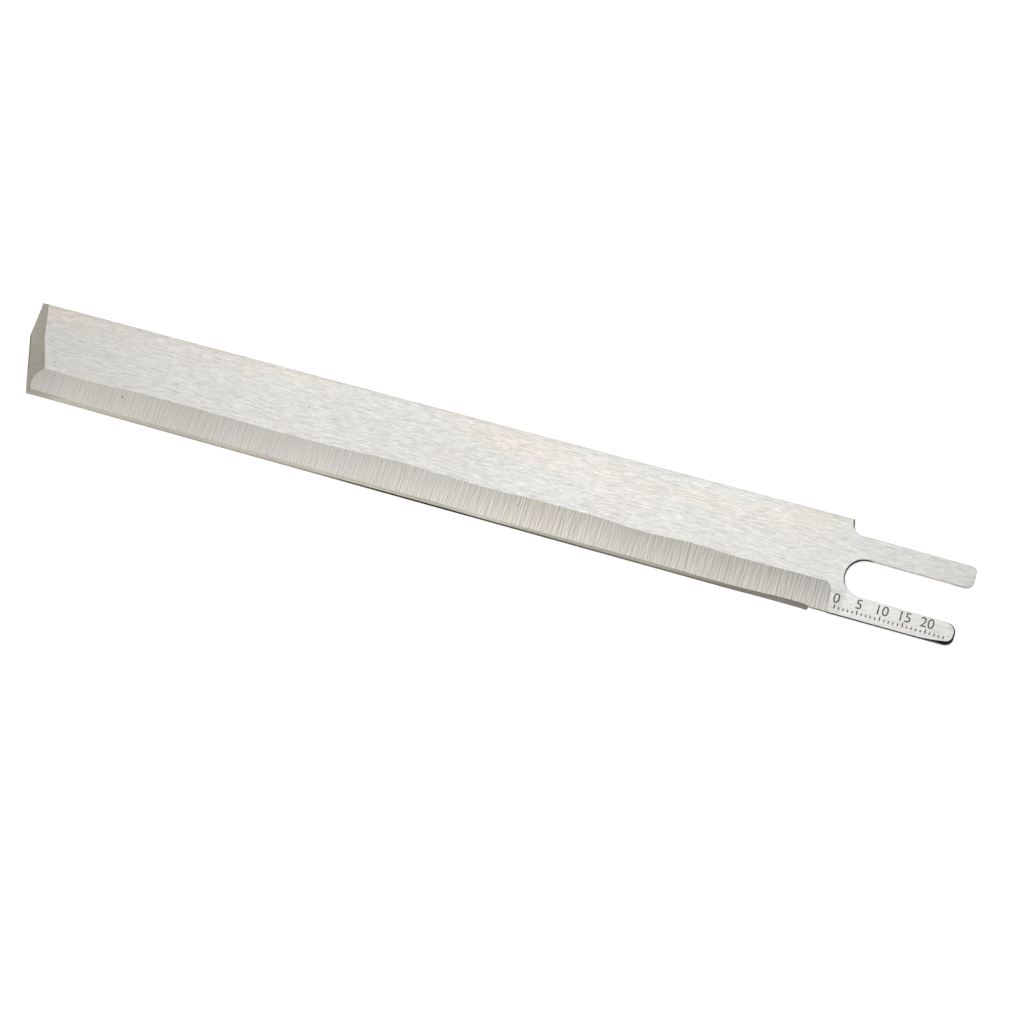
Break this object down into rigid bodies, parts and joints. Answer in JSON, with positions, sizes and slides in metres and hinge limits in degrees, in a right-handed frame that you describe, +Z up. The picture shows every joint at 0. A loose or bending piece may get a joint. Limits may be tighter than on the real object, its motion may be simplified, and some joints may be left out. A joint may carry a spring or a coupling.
{
  "type": "straight knife blade",
  "caption": "Long straight blade for an upright cloth cutter, hollow ground along a sharpened edge, thinned at the tip, with a forked tang that slides onto a clamp screw.",
  "frame": {"origin": "centre of the outline on the face it lies on", "axes": "+X from the tip to the forked tang, +Y from the cutting edge to the spine, +Z up through the thickness"},
  "size_m": [0.2278, 0.0228, 0.001],
  "materials": {
    "ground_steel": "satin flats with a fine lengthwise grain, cross-ground hollows and a narrow sharpened bevel"
  },
  "bodies": {
    "root": {"blade": "ground_steel"}
  },
  "joints": []
}
